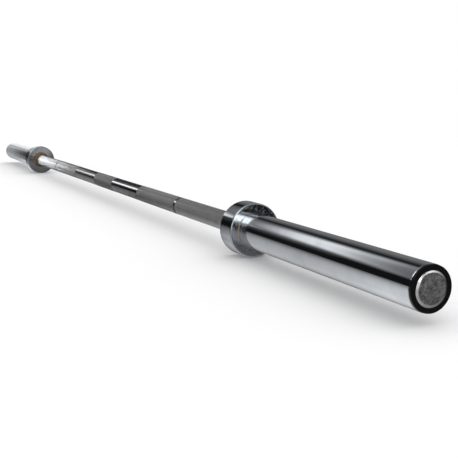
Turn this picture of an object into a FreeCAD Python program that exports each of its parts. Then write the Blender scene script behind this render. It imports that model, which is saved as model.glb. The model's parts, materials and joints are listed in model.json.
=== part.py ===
"""Olympic barbell: a knurled steel shaft with a free-turning sleeve on each end.

The bar lies along X with its middle at the origin. Each sleeve is a tube with a collar shrunk onto
its turned-down inner end. It runs on two flanged bronze bushes, held between the shaft's shoulder and a
retaining ring near the shaft's end, and a moulded cap with a metal plate closes its outer end.
Every piece is drawn for the +X end. The pieces of the -X end are the same ones, turned half round.
"""

import FreeCAD
import Part
import Sketcher
import os

# Driving sizes in millimetres
SIZES = {
    # Whole bar
    "overall_length": 2200.0,
    "collar_gap": 1350.0,
    # Grip of the shaft: centre knurl, smooth stretch, outer knurl with a smooth ring mark in it
    "grip_dia": 28.6,
    "knurl_height": 0.2,
    "centre_knurl_length": 133.0,
    "smooth_length": 164.5,
    "ring_mark_spacing": 860.0,
    "ring_mark_width": 6.0,
    "plain_end_length": 12.0,
    # Spigots of the shaft, which carry the sleeves
    "shoulder_step": 1.8,
    "spigot_chamfer": 1.0,
    "clip_groove_depth": 0.8,
    "clip_end_land": 4.0,
    # Bushes
    "bush_clearance": 0.05,
    "bush_wall": 2.75,
    "bush_chamfer": 1.0,
    "inner_bush_length": 40.0,
    "inner_flange_thickness": 6.0,
    "inner_flange_lip": 5.7,
    "flange_setback": 0.3,
    "shoulder_recess_depth": 3.0,
    "shoulder_recess_gap": 1.2,
    "outer_bush_length": 40.0,
    "outer_flange_thickness": 4.0,
    "outer_flange_lip": 4.2,
    # Thrust washers and the disc spring behind the outer one
    "running_gap": 0.1,
    "washer_clearance": 0.1,
    "inner_washer_thickness": 2.0,
    "inner_washer_wall": 1.7,
    "outer_washer_thickness": 3.0,
    "outer_washer_wall": 6.0,
    "spring_thickness": 1.2,
    "spring_rise": 0.8,
    "spring_wall": 5.0,
    # Retaining ring
    "clip_thickness": 2.0,
    "clip_side_clearance": 0.1,
    "clip_wall": 3.2,
    "clip_opening": 5.0,
    "lug_dia": 6.0,
    "lug_hole_dia": 2.4,
    # Sleeve tube and collar
    "sleeve_dia": 50.0,
    "sleeve_chamfer": 0.8,
    "collar_dia": 76.0,
    "collar_width": 35.0,
    "collar_round": 2.0,
    "collar_web": 6.0,
    "collar_seat_step": 0.8,
    "seam_gap": 0.1,
    # End cap
    "cap_flange_thickness": 3.0,
    "cap_inset": 0.35,
    "cap_round": 0.5,
    "cap_rim": 5.55,
    "cap_plug_length": 12.0,
    "cap_plug_wall": 3.0,
    "cap_boss_wall": 3.0,
    "shaft_end_room": 4.0,
    # End plate, which stands proud of the cap and is held by a shank in the cap's boss
    "plate_thickness": 2.4,
    "plate_proud": 1.2,
    "plate_edge_land": 0.2,
    "plate_gap": 0.1,
    "shank_dia": 6.0,
    "shank_length": 8.0,
}

SIDES = {"right": 0.0, "left": 180.0}

# Radii, as expressions on the sheet's cells
SMOOTH_R = "sizes.grip_dia / 2"
KNURL_R = f"({SMOOTH_R} + sizes.knurl_height)"
SPIGOT_R = f"({SMOOTH_R} - sizes.shoulder_step)"
GROOVE_R = f"({SPIGOT_R} - sizes.clip_groove_depth)"
BUSH_BORE_R = f"({SPIGOT_R} + sizes.bush_clearance)"
BUSH_R = f"({BUSH_BORE_R} + sizes.bush_wall)"
INNER_FLANGE_R = f"({BUSH_R} + sizes.inner_flange_lip)"
OUTER_FLANGE_R = f"({BUSH_R} + sizes.outer_flange_lip)"
SHOULDER_RECESS_R = f"({SMOOTH_R} + sizes.shoulder_recess_gap)"
WASHER_BORE_R = f"({SPIGOT_R} + sizes.washer_clearance)"
CLIP_R = f"({GROOVE_R} + sizes.clip_wall)"
SLEEVE_R = "sizes.sleeve_dia / 2"
COLLAR_R = "sizes.collar_dia / 2"
SEAT_R = f"({SLEEVE_R} - sizes.collar_seat_step)"
SEAM_R = f"({SLEEVE_R} + sizes.seam_gap)"
CAP_R = f"({SLEEVE_R} - sizes.cap_inset)"
CAP_RECESS_R = f"({CAP_R} - sizes.cap_rim)"
PLATE_R = f"({CAP_RECESS_R} - sizes.plate_gap)"
PLUG_BORE_R = f"({OUTER_FLANGE_R} - sizes.cap_plug_wall)"
SHANK_R = "sizes.shank_dia / 2"
BOSS_R = f"({SHANK_R} + sizes.cap_boss_wall)"

# Stations along the shaft, from the collar's inner face to the step that carries the tube
INNER_FACE = "sizes.collar_gap / 2"
OUTER_FACE = f"({INNER_FACE} + sizes.collar_width)"
FLANGE_FRONT = f"({INNER_FACE} + sizes.flange_setback)"
FLANGE_BACK = f"({FLANGE_FRONT} + sizes.inner_flange_thickness)"
THRUST_FACE = f"({FLANGE_FRONT} + sizes.shoulder_recess_depth)"
INNER_WASHER_BACK = f"({THRUST_FACE} - sizes.running_gap)"
INNER_WASHER_FRONT = f"({INNER_WASHER_BACK} - sizes.inner_washer_thickness)"
SHOULDER = f"({INNER_WASHER_FRONT} - sizes.running_gap)"
TUBE_SEAT = f"({FLANGE_BACK} + sizes.collar_web)"

# Stations at the outer end, from the plate's face inwards
PLATE_FACE = "sizes.overall_length / 2"
CAP_FACE = f"({PLATE_FACE} - sizes.plate_proud)"
PLATE_BACK = f"({PLATE_FACE} - sizes.plate_thickness)"
SHANK_END = f"({PLATE_BACK} - sizes.shank_length)"
TUBE_END = f"({CAP_FACE} - sizes.cap_flange_thickness)"
PLUG_END = f"({TUBE_END} - sizes.cap_plug_length)"
SHAFT_END = f"({PLUG_END} - sizes.shaft_end_room)"
GROOVE_END = f"({SHAFT_END} - sizes.clip_end_land)"
CLIP_BACK = f"({GROOVE_END} - sizes.clip_side_clearance)"
CLIP_FRONT = f"({CLIP_BACK} - sizes.clip_thickness)"
GROOVE_START = f"({CLIP_FRONT} - sizes.clip_side_clearance)"
SPRING_BACK = f"({CLIP_FRONT} - sizes.running_gap)"
SPRING_FRONT = f"({SPRING_BACK} - sizes.spring_thickness - sizes.spring_rise)"
OUTER_WASHER_BACK = f"({SPRING_FRONT} - sizes.running_gap)"
OUTER_WASHER_FRONT = f"({OUTER_WASHER_BACK} - sizes.outer_washer_thickness)"
OUTER_FLANGE_BACK = f"({OUTER_WASHER_FRONT} - sizes.running_gap)"
BUSH_SEAT = f"({OUTER_FLANGE_BACK} - sizes.outer_flange_thickness)"

AXIS = "0"

doc = FreeCAD.newDocument("barbell")
sheet = doc.addObject("Spreadsheet::Sheet", "sizes")


def fill_sheet():
    """Write each driving size to its own cell, with its name as the alias."""
    for row, (name, value) in enumerate(SIZES.items(), 1):
        sheet.set(f"A{row}", name)
        sheet.set(f"B{row}", str(value))
        sheet.setAlias(f"B{row}", name)
    doc.recompute()


def value_of(expression):
    """Return the number that an expression on the sheet stands for."""
    return float(sheet.evalExpression(expression))


def origin_plane(body, role):
    """Return one of the body's own origin planes."""
    return next(plane for plane in body.Origin.OriginFeatures if plane.Role == role)


def new_sketch(body, name, role, station=None):
    """Add a sketch on an origin plane, moved along the plane's normal to a station."""
    sketch = body.newObject("Sketcher::SketchObject", f"{body.Name}_{name}")
    sketch.AttachmentSupport = [(origin_plane(body, role), "")]
    sketch.MapMode = "FlatFace"
    if station:
        sketch.setExpression("AttachmentOffset.Base.z", station)
    return sketch


def tie(sketch, geometry, vertex, direction, expression):
    """Hold a vertex at a distance from the sketch's origin, or on the sketch's axis."""
    if expression == AXIS:
        axis = -2 if direction == "DistanceX" else -1
        sketch.addConstraint(Sketcher.Constraint("PointOnObject", geometry, vertex, axis))
        return
    distance = Sketcher.Constraint(direction, -1, 1, geometry, vertex, value_of(expression))
    index = sketch.addConstraint(distance)
    sketch.setExpression(f"Constraints[{index}]", expression)


def draw_outline(sketch, corners):
    """Draw a closed outline of straight lines whose corners are pairs of expressions."""
    places = [FreeCAD.Vector(value_of(x), value_of(y), 0) for x, y in corners]
    count = len(corners)
    for index, place in enumerate(places):
        sketch.addGeometry(Part.LineSegment(place, places[(index + 1) % count]), False)
    for index in range(count):
        sketch.addConstraint(Sketcher.Constraint("Coincident", index, 2, (index + 1) % count, 1))
    for index, (x, y) in enumerate(corners):
        tie(sketch, index, 1, "DistanceX", x)
        tie(sketch, index, 1, "DistanceY", y)


def draw_circle(sketch, radius, x=AXIS, y=AXIS):
    """Draw a circle whose centre and radius are expressions."""
    centre = FreeCAD.Vector(value_of(x), value_of(y), 0)
    circle = Part.Circle(centre, FreeCAD.Vector(0, 0, 1), value_of(radius))
    index = sketch.addGeometry(circle, False)
    tie(sketch, index, 3, "DistanceX", x)
    tie(sketch, index, 3, "DistanceY", y)
    size = sketch.addConstraint(Sketcher.Constraint("Radius", index, value_of(radius)))
    sketch.setExpression(f"Constraints[{size}]", radius)


def new_body(label):
    """Add a body whose label names the piece."""
    body = doc.addObject("PartDesign::Body", label)
    body.Label = label
    return body


def turn(body, corners):
    """Turn an outline of stations and radii about the bar's axis."""
    sketch = new_sketch(body, "profile", "XZ_Plane")
    draw_outline(sketch, corners)
    turned = body.newObject("PartDesign::Revolution", f"{body.Name}_turned")
    turned.Profile = sketch
    turned.ReferenceAxis = (sketch, ["H_Axis"])
    turned.Angle = 360
    doc.recompute()
    return turned


def ring_edges(body, places):
    """Name the body's circular edges at the given stations and radii."""
    wanted = [(value_of(station), value_of(radius)) for station, radius in places]
    names = []
    for index, edge in enumerate(body.Shape.Edges, 1):
        if not isinstance(edge.Curve, Part.Circle):
            continue
        found = (edge.Curve.Center.x, edge.Curve.Radius)
        if any(abs(found[0] - x) < 1e-4 and abs(found[1] - r) < 1e-4 for x, r in wanted):
            names.append(f"Edge{index}")
    if len(names) != len(places):
        raise RuntimeError(f"{body.Label}: found {len(names)} of {len(places)} edges")
    return names


def round_edges(body, radius, places):
    """Round the circular edges at the given stations and radii."""
    base = (body.Tip, ring_edges(body, places))
    rounded = body.newObject("PartDesign::Fillet", f"{body.Name}_rounded")
    rounded.Base = base
    rounded.setExpression("Radius", radius)
    doc.recompute()
    return rounded


def bevel_edges(body, size, places):
    """Chamfer the circular edges at the given stations and radii."""
    base = (body.Tip, ring_edges(body, places))
    bevelled = body.newObject("PartDesign::Chamfer", f"{body.Name}_bevelled")
    bevelled.Base = base
    bevelled.setExpression("Size", size)
    doc.recompute()
    return bevelled


def make_shaft():
    """Make the shaft: half of it is turned from the bar's middle outwards, then mirrored."""
    body = new_body("shaft")
    centre_knurl_end = "sizes.centre_knurl_length / 2"
    outer_knurl_start = f"({centre_knurl_end} + sizes.smooth_length)"
    mark_start = "(sizes.ring_mark_spacing / 2 - sizes.ring_mark_width / 2)"
    mark_end = f"({mark_start} + sizes.ring_mark_width)"
    outer_knurl_end = f"({SHOULDER} - sizes.plain_end_length)"
    half = turn(body, [
        (AXIS, AXIS),
        (AXIS, KNURL_R),
        (centre_knurl_end, KNURL_R),
        (centre_knurl_end, SMOOTH_R),
        (outer_knurl_start, SMOOTH_R),
        (outer_knurl_start, KNURL_R),
        (mark_start, KNURL_R),
        (mark_start, SMOOTH_R),
        (mark_end, SMOOTH_R),
        (mark_end, KNURL_R),
        (outer_knurl_end, KNURL_R),
        (outer_knurl_end, SMOOTH_R),
        (SHOULDER, SMOOTH_R),
        (SHOULDER, SPIGOT_R),
        (GROOVE_START, SPIGOT_R),
        (GROOVE_START, GROOVE_R),
        (GROOVE_END, GROOVE_R),
        (GROOVE_END, SPIGOT_R),
        (f"({SHAFT_END} - sizes.spigot_chamfer)", SPIGOT_R),
        (SHAFT_END, f"({SPIGOT_R} - sizes.spigot_chamfer)"),
        (SHAFT_END, AXIS),
    ])
    whole = body.newObject("PartDesign::Mirrored", "shaft_both_ends")
    whole.Originals = [half]
    whole.MirrorPlane = (origin_plane(body, "YZ_Plane"), [""])
    body.Tip = whole
    return body


def make_collar(side):
    """Make the collar: a stepped ring that seats the tube's end and the inner bush's flange."""
    body = new_body(f"{side}_collar")
    turn(body, [
        (INNER_FACE, INNER_FLANGE_R),
        (INNER_FACE, COLLAR_R),
        (OUTER_FACE, COLLAR_R),
        (OUTER_FACE, SEAM_R),
        (f"({OUTER_FACE} - ({SEAM_R} - {SEAT_R}))", SEAT_R),
        (TUBE_SEAT, SEAT_R),
        (TUBE_SEAT, BUSH_R),
        (FLANGE_BACK, BUSH_R),
        (FLANGE_BACK, INNER_FLANGE_R),
    ])
    round_edges(body, "sizes.collar_round", [(INNER_FACE, COLLAR_R), (OUTER_FACE, COLLAR_R)])
    return body


def make_sleeve_tube(side):
    """Make the tube that carries the plates, counterbored for what holds it on the shaft."""
    body = new_body(f"{side}_sleeve_tube")
    turn(body, [
        (TUBE_SEAT, BUSH_R),
        (TUBE_SEAT, SEAT_R),
        (OUTER_FACE, SEAT_R),
        (OUTER_FACE, SLEEVE_R),
        (TUBE_END, SLEEVE_R),
        (TUBE_END, OUTER_FLANGE_R),
        (BUSH_SEAT, OUTER_FLANGE_R),
        (BUSH_SEAT, BUSH_R),
    ])
    bevel_edges(body, "sizes.sleeve_chamfer", [(TUBE_END, SLEEVE_R)])
    return body


def make_inner_bush(side):
    """Make the inner bush, whose flange shows in the collar and takes the shaft's shoulder."""
    body = new_body(f"{side}_inner_bush")
    bush_end = f"({FLANGE_BACK} + sizes.inner_bush_length)"
    turn(body, [
        (FLANGE_FRONT, SHOULDER_RECESS_R),
        (FLANGE_FRONT, INNER_FLANGE_R),
        (FLANGE_BACK, INNER_FLANGE_R),
        (FLANGE_BACK, BUSH_R),
        (bush_end, BUSH_R),
        (bush_end, BUSH_BORE_R),
        (THRUST_FACE, BUSH_BORE_R),
        (THRUST_FACE, SHOULDER_RECESS_R),
    ])
    bevel_edges(body, "sizes.bush_chamfer", [(bush_end, BUSH_R)])
    return body


def make_outer_bush(side):
    """Make the outer bush, whose flange seats on the step in the tube."""
    body = new_body(f"{side}_outer_bush")
    bush_end = f"({BUSH_SEAT} - sizes.outer_bush_length)"
    turn(body, [
        (bush_end, BUSH_BORE_R),
        (bush_end, BUSH_R),
        (BUSH_SEAT, BUSH_R),
        (BUSH_SEAT, OUTER_FLANGE_R),
        (OUTER_FLANGE_BACK, OUTER_FLANGE_R),
        (OUTER_FLANGE_BACK, BUSH_BORE_R),
    ])
    bevel_edges(body, "sizes.bush_chamfer", [(bush_end, BUSH_R)])
    return body


def make_washer(label, front, back, wall):
    """Make a flat thrust washer that floats on the spigot."""
    body = new_body(label)
    rim = f"({WASHER_BORE_R} + {wall})"
    turn(body, [(front, WASHER_BORE_R), (front, rim), (back, rim), (back, WASHER_BORE_R)])
    return body


def make_spring_washer(side):
    """Make the coned disc spring that presses the outer washer away from the retaining ring."""
    body = new_body(f"{side}_spring_washer")
    rim = f"({WASHER_BORE_R} + sizes.spring_wall)"
    turn(body, [
        (f"({SPRING_BACK} - sizes.spring_thickness)", WASHER_BORE_R),
        (SPRING_BACK, WASHER_BORE_R),
        (f"({SPRING_FRONT} + sizes.spring_thickness)", rim),
        (SPRING_FRONT, rim),
    ])
    return body


def make_retaining_ring(side):
    """Make the open ring that snaps into the shaft's groove, with a lug on each side of its gap."""
    body = new_body(f"{side}_retaining_ring")
    half_opening = "sizes.clip_opening / 2"
    lug_r = "sizes.lug_dia / 2"
    lug_y = f"({half_opening} + {lug_r})"
    lug_z = f"({GROOVE_R} + sizes.clip_wall / 2 + {lug_r} / 2)"
    cut_top = f"({lug_z} + sizes.lug_dia)"

    def pad(name, sketch):
        added = body.newObject("PartDesign::Pad", f"{body.Name}_{name}")
        added.Profile = sketch
        added.setExpression("Length", "sizes.clip_thickness")
        return added

    def pocket(name, sketch):
        cut = body.newObject("PartDesign::Pocket", f"{body.Name}_{name}")
        cut.Profile = sketch
        cut.Reversed = True
        cut.setExpression("Length", "sizes.clip_thickness")
        return cut

    band_sketch = new_sketch(body, "band_outline", "YZ_Plane", CLIP_FRONT)
    draw_circle(band_sketch, CLIP_R)
    draw_circle(band_sketch, GROOVE_R)
    pad("band", band_sketch)

    lug_sketch = new_sketch(body, "lug_outline", "YZ_Plane", CLIP_FRONT)
    draw_circle(lug_sketch, lug_r, lug_y, lug_z)
    lug = pad("lug", lug_sketch)

    hole_sketch = new_sketch(body, "hole_outline", "YZ_Plane", CLIP_FRONT)
    draw_circle(hole_sketch, "sizes.lug_hole_dia / 2", lug_y, lug_z)
    hole = pocket("lug_hole", hole_sketch)

    gap_sketch = new_sketch(body, "gap_outline", "YZ_Plane", CLIP_FRONT)
    draw_outline(gap_sketch, [(AXIS, AXIS), (half_opening, AXIS), (half_opening, cut_top), (AXIS, cut_top)])
    gap = pocket("gap", gap_sketch)
    doc.recompute()

    both = body.newObject("PartDesign::Mirrored", f"{body.Name}_both_lugs")
    both.Originals = [lug, hole, gap]
    both.MirrorPlane = (origin_plane(body, "XZ_Plane"), [""])
    body.Tip = both
    return body


def make_end_cap(side):
    """Make the moulded cap: a rim over the tube's end, a hollow plug and a boss for the shank."""
    body = new_body(f"{side}_end_cap")
    turn(body, [
        (PLATE_BACK, SHANK_R),
        (PLATE_BACK, CAP_RECESS_R),
        (CAP_FACE, CAP_RECESS_R),
        (CAP_FACE, CAP_R),
        (TUBE_END, CAP_R),
        (TUBE_END, OUTER_FLANGE_R),
        (PLUG_END, OUTER_FLANGE_R),
        (PLUG_END, PLUG_BORE_R),
        (TUBE_END, PLUG_BORE_R),
        (TUBE_END, BOSS_R),
        (SHANK_END, BOSS_R),
        (SHANK_END, SHANK_R),
    ])
    round_edges(body, "sizes.cap_round", [(CAP_FACE, CAP_R)])
    return body


def make_end_plate(side):
    """Make the metal plate with its rounded edge and the shank behind it."""
    body = new_body(f"{side}_end_plate")
    turn(body, [
        (SHANK_END, AXIS),
        (SHANK_END, SHANK_R),
        (PLATE_BACK, SHANK_R),
        (PLATE_BACK, PLATE_R),
        (PLATE_FACE, PLATE_R),
        (PLATE_FACE, AXIS),
    ])
    round_edges(body, "sizes.plate_thickness - sizes.plate_edge_land", [(PLATE_FACE, PLATE_R)])
    return body


def make_end(side):
    """Make every piece of one end of the bar, apart from the shaft."""
    inner_label = f"{side}_inner_thrust_washer"
    outer_label = f"{side}_outer_thrust_washer"
    return [
        make_collar(side),
        make_sleeve_tube(side),
        make_inner_bush(side),
        make_outer_bush(side),
        make_washer(inner_label, INNER_WASHER_FRONT, INNER_WASHER_BACK, "sizes.inner_washer_wall"),
        make_washer(outer_label, OUTER_WASHER_FRONT, OUTER_WASHER_BACK, "sizes.outer_washer_wall"),
        make_spring_washer(side),
        make_retaining_ring(side),
        make_end_cap(side),
        make_end_plate(side),
    ]


def check(pieces):
    """Stop if any object of the document failed or a piece is not one valid solid."""
    for item in doc.Objects:
        if "Invalid" in item.State or "Error" in item.State:
            raise RuntimeError(f"{item.Label} failed: {item.State}")
    for piece in pieces:
        if piece.Shape.isNull() or not piece.Shape.isValid() or len(piece.Shape.Solids) != 1:
            raise RuntimeError(f"{piece.Label} is not one valid solid")


def main():
    """Build the document, check it and write one file for each piece."""
    fill_sheet()
    pieces = [make_shaft()]
    for side, angle in SIDES.items():
        for piece in make_end(side):
            half_turn = FreeCAD.Rotation(FreeCAD.Vector(0, 0, 1), angle)
            piece.Placement = FreeCAD.Placement(FreeCAD.Vector(), half_turn)
            pieces.append(piece)
    doc.recompute()
    check(pieces)
    os.makedirs("parts", exist_ok=True)
    for piece in pieces:
        piece.Shape.exportStep(os.path.join("parts", f"{piece.Label}.step"))
        print(f"{piece.Label}: {piece.Shape.Volume / 1000:.3f} cm3")


main()
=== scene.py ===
"""Finished surfaces of an olympic barbell, built around its CAD frame and laid out as an add-on.

The bar lies along X with its middle at the origin. Turned pieces are revolved from outlines whose
main sizes come from the frame, the grip's knurl is a geometry node tree, and every finish is a
procedural material on object coordinates. All lengths are in metres.
"""

import json
import math
from collections import namedtuple

import bmesh
import bpy
from bpy.props import FloatProperty, FloatVectorProperty, IntProperty, PointerProperty
from bpy.types import Operator, Panel, PropertyGroup
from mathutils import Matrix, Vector

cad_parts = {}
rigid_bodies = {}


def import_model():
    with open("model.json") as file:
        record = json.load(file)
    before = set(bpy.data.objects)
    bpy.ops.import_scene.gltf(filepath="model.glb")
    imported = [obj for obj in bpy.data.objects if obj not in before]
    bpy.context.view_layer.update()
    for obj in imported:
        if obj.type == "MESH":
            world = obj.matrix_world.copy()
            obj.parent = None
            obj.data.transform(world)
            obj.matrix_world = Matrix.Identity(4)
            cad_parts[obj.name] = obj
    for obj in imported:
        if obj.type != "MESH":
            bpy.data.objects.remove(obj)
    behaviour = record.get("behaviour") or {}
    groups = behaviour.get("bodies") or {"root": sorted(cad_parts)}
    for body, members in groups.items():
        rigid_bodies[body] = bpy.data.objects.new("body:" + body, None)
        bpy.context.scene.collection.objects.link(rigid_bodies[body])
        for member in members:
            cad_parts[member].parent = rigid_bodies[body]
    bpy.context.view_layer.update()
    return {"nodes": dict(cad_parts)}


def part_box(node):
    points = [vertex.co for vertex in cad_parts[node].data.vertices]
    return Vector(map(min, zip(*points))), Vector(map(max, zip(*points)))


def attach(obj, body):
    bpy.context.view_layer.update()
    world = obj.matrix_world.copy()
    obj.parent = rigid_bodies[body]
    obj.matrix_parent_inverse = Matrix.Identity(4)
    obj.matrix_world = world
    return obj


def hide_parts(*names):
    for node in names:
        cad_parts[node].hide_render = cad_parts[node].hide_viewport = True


bl_info = {
    "name": "Olympic Barbell",
    "version": (1, 0, 0),
    "blender": (4, 5, 0),
    "location": "View3D > Sidebar > Barbell",
    "description": "Builds the finished surfaces of an olympic barbell around its CAD frame",
    "category": "Object",
}

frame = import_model()

MM = 0.001
SIDES = {"right": 1.0, "left": -1.0}

# Facets of a turned piece, round the bar and round an edge
TURN_STEPS = 192
ARC_STEPS = 8

# Straight stretches longer than HELD_RUN get a point at HOLD from each end, and points nearer to
# the axis than ON_AXIS lie on it. Edges that turn by more than SHARP_ANGLE are shaded sharp.
HOLD = 0.1 * MM
HELD_RUN = 4 * HOLD
ON_AXIS = 1e-9
SHARP_ANGLE = math.radians(35)

Reach = namedtuple("Reach", "inner outer radius")


def reach(piece):
    """Return how far a piece of the right end lies along the bar, and its largest radius."""
    low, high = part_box(f"right_{piece}")
    return Reach(low.x, high.x, high.z)


COLLAR = reach("collar")
TUBE = reach("sleeve_tube")
INNER_BUSH = reach("inner_bush")
OUTER_BUSH = reach("outer_bush")
CAP = reach("end_cap")
PLATE = reach("end_plate")
CLIP = reach("retaining_ring")
SHAFT_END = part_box("shaft")[1].x
CREST_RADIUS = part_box("shaft")[1].z


# Properties: the sizes and colours that a user would change

def length(name, description, default):
    """A length property in metres."""
    return FloatProperty(
        name=name, description=description, default=default, min=0.0, precision=5,
        subtype="DISTANCE", unit="LENGTH",
    )


def colour(name, description, default):
    """A colour property."""
    return FloatVectorProperty(
        name=name, description=description, default=default, min=0.0, max=1.0, size=3, subtype="COLOR",
    )


def share(name, description, default):
    """A property from nought to one."""
    return FloatProperty(
        name=name, description=description, default=default, min=0.0, max=1.0, subtype="FACTOR",
    )


class GripSizes(PropertyGroup):
    """Sizes of the shaft's grip and of its knurl."""

    knurl_height: length("Knurl height", "Height of the diamonds above the smooth grip", 0.2 * MM)
    knurl_bed: length("Knurl bed", "Depth of the knurled bands below the smooth grip", 0.3 * MM)
    diamonds: IntProperty(
        name="Diamonds", description="Diamonds of the knurl round the bar", default=52, min=12,
    )
    lead: FloatProperty(
        name="Lead", description="Angle of the knurl's grooves to the bar's axis",
        default=math.radians(30), subtype="ANGLE", unit="ROTATION",
    )
    crest: share("Crest", "Width of a diamond's flat top as a share of its base", 0.3)
    centre_knurl: length("Centre knurl", "Length of the knurled band in the middle", 133.0 * MM)
    smooth: length("Smooth stretch", "Length of each smooth stretch beside the middle", 164.5 * MM)
    mark_spacing: length("Ring mark spacing", "Distance between the two ring marks", 860.0 * MM)
    mark_width: length("Ring mark width", "Width of a ring mark", 6.0 * MM)
    shoulder: length("Shoulder", "Distance of a shoulder from the bar's middle", 676.1 * MM)
    plain_end: length("Plain end", "Smooth stretch between the knurl and the shoulder", 12.0 * MM)
    shoulder_step: length("Shoulder step", "Drop from the grip to the spigot", 1.8 * MM)
    groove_depth: length("Groove depth", "Depth of the retaining ring's groove", 0.8 * MM)
    groove_clearance: length("Groove clearance", "Room beside the retaining ring in its groove", 0.1 * MM)
    end_bevel: length("End bevel", "Bevel at the shaft's ends", 1.0 * MM)


class SleeveSizes(PropertyGroup):
    """Sizes of the collar, sleeve tube, cap and plate."""

    collar_round: length("Collar rounding", "Rounding of the collar's rims", 2.0 * MM)
    face_round: length("Collar bore rounding", "Rounding where the bush's flange sits", 0.3 * MM)
    seat_step: length("Seat step", "Drop from the tube to the seat of the collar", 0.8 * MM)
    seam_gap: length("Seam gap", "Gap between the collar's face and the tube", 0.1 * MM)
    bore: length("Bore", "Radius of the tube's bore", 15.3 * MM)
    flange: length("Bush flange", "Thickness of the inner bush's flange", 6.0 * MM)
    outer_flange: length("Outer flange", "Thickness of the outer bush's flange", 4.0 * MM)
    end_bevel: length("End bevel", "Bevel at the tube's outer end", 0.8 * MM)
    end_ease: length("End easing", "Rounding of the bevel's edges", 0.2 * MM)
    cap_round: length("Cap rounding", "Rounding of the cap's rims", 0.5 * MM)
    cap_wall: length("Cap wall", "Wall of the cap's plug and boss", 3.0 * MM)
    plate_gap: length("Plate gap", "Gap between the plate and the cap", 0.1 * MM)
    plate_thickness: length("Plate thickness", "Thickness of the plate", 2.4 * MM)
    plate_slope: length("Plate slope", "Width of the slope round the plate's face", 2.8 * MM)
    plate_drop: length("Plate drop", "Fall of the slope round the plate's face", 1.3 * MM)
    plate_ease: length("Plate easing", "Rounding where the face turns into the slope", 4.0 * MM)
    plate_round: length("Plate rounding", "Rounding of the plate's rim", 0.8 * MM)
    shank: length("Shank", "Radius of the plate's shank", 3.0 * MM)


class FinishColours(PropertyGroup):
    """Colours of the finishes."""

    sleeve_chrome: colour("Sleeve chrome", "Chrome plate of the sleeves", (0.55, 0.578, 0.612))
    shaft_chrome: colour("Shaft chrome", "Chrome plate of the smooth grip", (0.50, 0.507, 0.525))
    knurl_chrome: colour("Knurl chrome", "Chrome plate of the knurl", (0.66, 0.665, 0.68))
    # The colour that the knurl darkens to towards its bottoms, set by depth
    knurl_bottoms: colour("Knurl grime", "Dark bottoms of the knurl", (0.10, 0.097, 0.092))
    seam_dust: colour("Seam dust", "Dust in the pits round the collar's seam", (0.14, 0.125, 0.105))
    seam_rust: colour("Seam rust", "Rust in the collar's seam", (0.35, 0.23, 0.10))
    bronze: colour("Bronze", "Bushes", (0.46, 0.33, 0.18))
    bronze_dark: colour("Bronze patina", "Dull patches of the bushes", (0.26, 0.18, 0.10))
    washer_steel: colour("Washer steel", "Ground thrust washers", (0.50, 0.50, 0.51))
    spring_steel: colour("Spring steel", "Blackened springs and rings", (0.09, 0.09, 0.10))
    cap_black: colour("Cap black", "Moulded caps", (0.003, 0.003, 0.0032))
    plate_satin: colour("Plate satin", "Face of the plates", (0.72, 0.72, 0.73))
    plate_edge: colour("Plate edge", "Polished edge of the plates", (0.60, 0.60, 0.61))


class StudioSettings(PropertyGroup):
    """Floor, light and camera."""

    floor: colour("Floor", "Colour of the floor", (0.95, 0.95, 0.95))
    sky: FloatProperty(name="Surround", description="Strength of the white surround", default=1.0, min=0.0)
    sun: FloatProperty(name="Key light", description="Strength of the soft key light", default=0.3, min=0.0)
    spots: FloatProperty(
        name="Spots", description="Power of each far spot lamp", default=1.25, min=0.0,
        subtype="POWER", unit="POWER",
    )
    softbox: FloatProperty(name="Softbox", description="Gain of the softboxes", default=1.0, min=0.0)
    lens: FloatProperty(
        name="Lens", description="Focal length of the camera on a 36 mm frame",
        default=66.54, min=1.0, subtype="DISTANCE_CAMERA", unit="CAMERA",
    )
    place: FloatVectorProperty(
        name="Place", description="Place of the camera", default=(1.7473, -0.5098, 0.1876),
        size=3, subtype="TRANSLATION", unit="LENGTH",
    )
    bearing: FloatProperty(
        name="Bearing", description="Turn of the camera to the left of +Y",
        default=1.145, subtype="ANGLE", unit="ROTATION",
    )
    tilt: FloatProperty(
        name="Tilt", description="Tilt of the camera, below the horizon when negative",
        default=-0.159, subtype="ANGLE", unit="ROTATION",
    )


# Node trees

class Signal:
    """An output socket of a node. Arithmetic on signals adds Math nodes to their tree."""

    def __init__(self, sheet, socket):
        self.sheet = sheet
        self.socket = socket

    def out(self, name):
        """Return another output of the same node."""
        return Signal(self.sheet, self.socket.node.outputs[name])

    def apply(self, operation, *others):
        """Apply a Math operation to this signal and any other operands."""
        operands = dict(enumerate((self, *others)))
        return self.sheet.node("ShaderNodeMath", {"operation": operation}, operands)

    def _reflected(self, operation, other):
        return self.sheet.node("ShaderNodeMath", {"operation": operation}, {0: other, 1: self})

    def __add__(self, other):
        return self.apply("ADD", other)

    def __sub__(self, other):
        return self.apply("SUBTRACT", other)

    def __mul__(self, other):
        return self.apply("MULTIPLY", other)

    def __truediv__(self, other):
        return self.apply("DIVIDE", other)

    def __radd__(self, other):
        return self._reflected("ADD", other)

    def __rsub__(self, other):
        return self._reflected("SUBTRACT", other)

    def __rmul__(self, other):
        return self._reflected("MULTIPLY", other)

    def __rtruediv__(self, other):
        return self._reflected("DIVIDE", other)


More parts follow.
